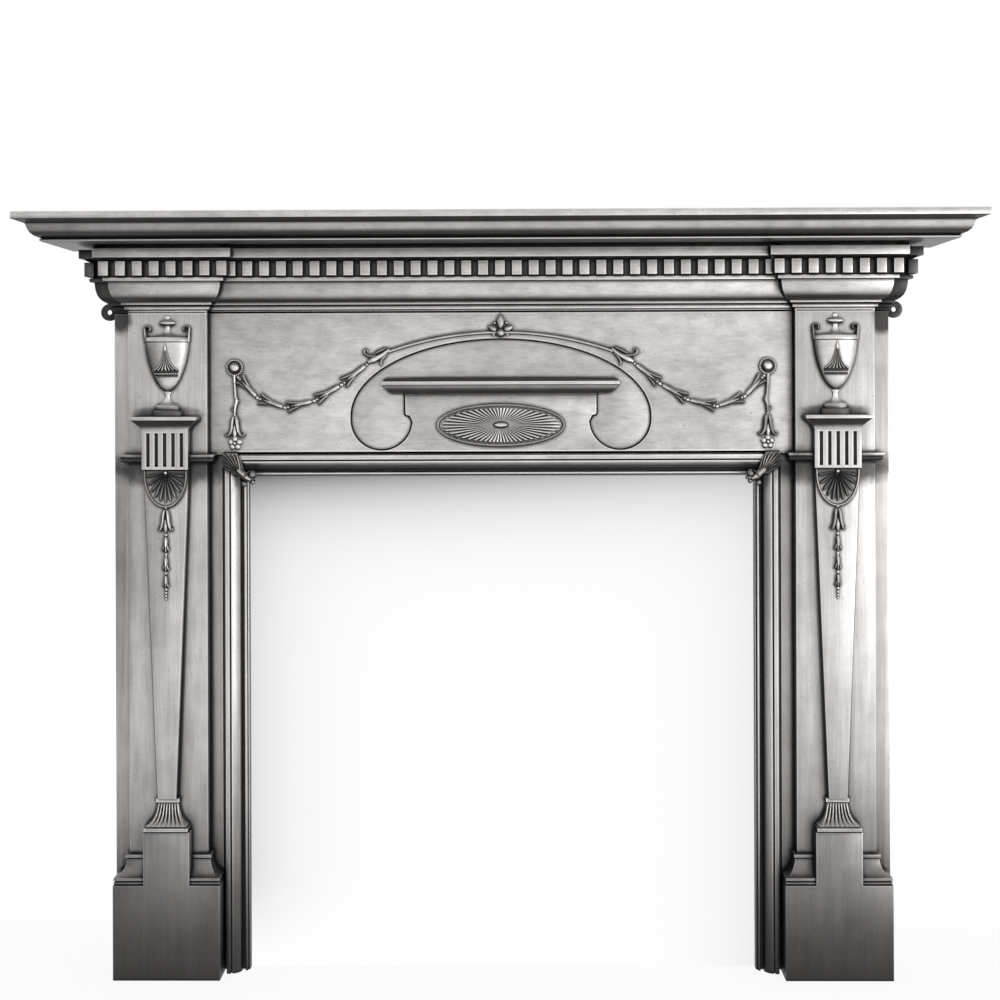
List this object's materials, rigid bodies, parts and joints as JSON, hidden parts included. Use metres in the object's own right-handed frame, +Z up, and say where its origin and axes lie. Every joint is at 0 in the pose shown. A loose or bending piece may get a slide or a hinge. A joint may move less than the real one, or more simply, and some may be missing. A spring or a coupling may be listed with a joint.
{
  "type": "fireplace surround",
  "caption": "Cast iron fire surround in the neoclassical manner: moulded shelf, dentilled frieze with an arch, swags and oval patera, and pilaster jambs with urns and husk drops.",
  "frame": {"origin": "on the floor, under the middle of the piece, midway between the wall face and the front edge of the shelf", "axes": "X runs along the wall, with the left jamb on -X; -Y points forward into the room and +Y to the wall; +Z is up"},
  "size_m": [1.67, 0.245, 1.3627],
  "materials": {
    "burnished_iron": "burnished and lightly brushed, bright on the arrises and near black in the quirks",
    "dark_iron": "dull and unpolished"
  },
  "bodies": {
    "root": {"left_jamb": "burnished_iron", "right_jamb": "burnished_iron", "frieze": "burnished_iron", "mantel_shelf": "burnished_iron", "left_lower_joint_bolt": "dark_iron", "left_lower_joint_washer": "dark_iron", "left_lower_joint_nut": "dark_iron", "left_upper_joint_bolt": "dark_iron", "left_upper_joint_washer": "dark_iron", "left_upper_joint_nut": "dark_iron", "left_jamb_shelf_bolt": "dark_iron", "left_jamb_shelf_washer": "dark_iron", "left_jamb_shelf_nut": "dark_iron", "left_frieze_shelf_bolt": "dark_iron", "left_frieze_shelf_washer": "dark_iron", "left_frieze_shelf_nut": "dark_iron", "right_lower_joint_bolt": "dark_iron", "right_lower_joint_washer": "dark_iron", "right_lower_joint_nut": "dark_iron", "right_upper_joint_bolt": "dark_iron", "right_upper_joint_washer": "dark_iron", "right_upper_joint_nut": "dark_iron", "right_jamb_shelf_bolt": "dark_iron", "right_jamb_shelf_washer": "dark_iron", "right_jamb_shelf_nut": "dark_iron", "right_frieze_shelf_bolt": "dark_iron", "right_frieze_shelf_washer": "dark_iron", "right_frieze_shelf_nut": "dark_iron"}
  },
  "joints": []
}
